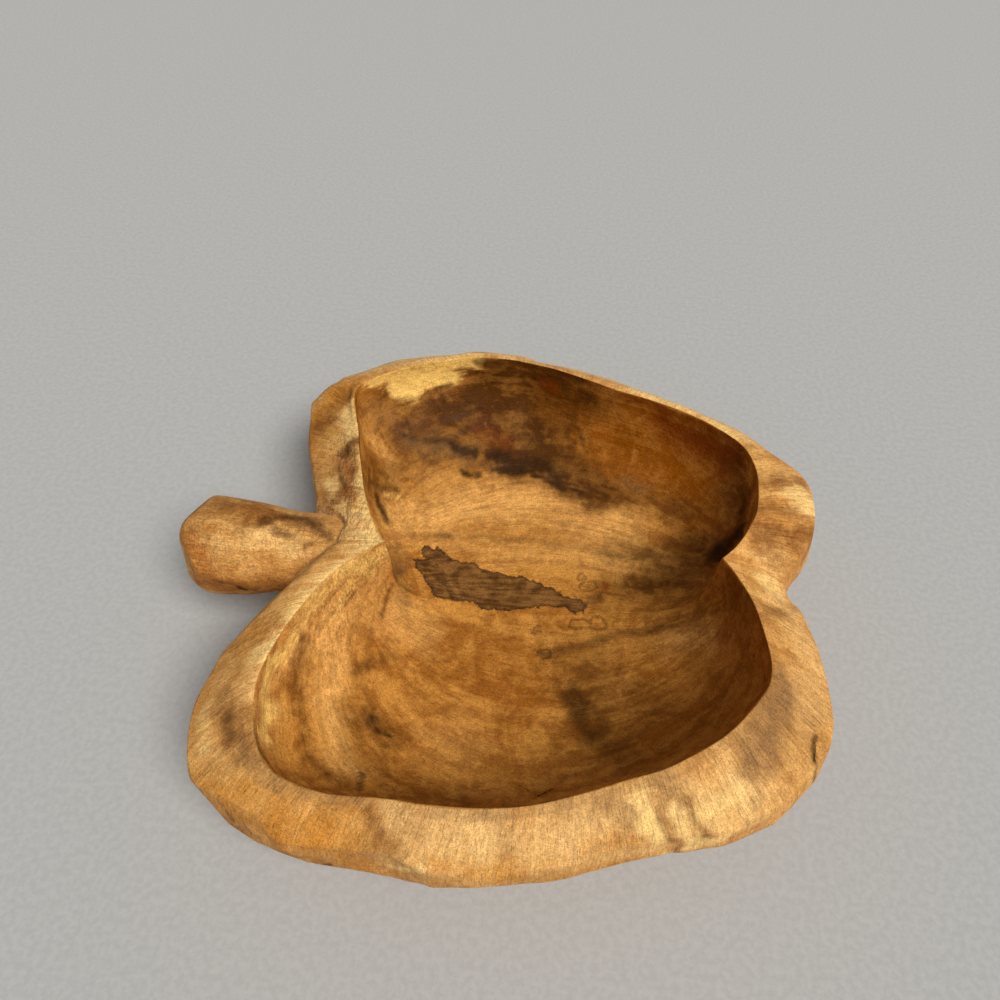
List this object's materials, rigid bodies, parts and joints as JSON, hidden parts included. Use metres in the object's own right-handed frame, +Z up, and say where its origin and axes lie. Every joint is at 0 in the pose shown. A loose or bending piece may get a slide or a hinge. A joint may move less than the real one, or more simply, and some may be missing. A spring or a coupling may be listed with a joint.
{
  "type": "dough bowl",
  "caption": "Hand-carved wooden dough bowl shaped like a halved apple, with a two-lobed hollow, a thick rounded rim and a stem as a handle.",
  "frame": {"origin": "middle of the bowl on the face of its foot, at table height", "axes": "+X away from the stem towards the calyx notch, +Y towards the back lobe, +Z up"},
  "size_m": [0.3185, 0.294, 0.076],
  "materials": {
    "bowl_wood": "satin oil on carved golden-brown wood",
    "stem_wood": "satin oil on carved orange-brown wood",
    "peg_wood": "bare hardwood dowel",
    "filler": "matte brown wood filler"
  },
  "bodies": {
    "root": {"bowl": "bowl_wood", "stem": "stem_wood", "stem_peg": "peg_wood", "neck_filler": "filler"}
  },
  "joints": []
}
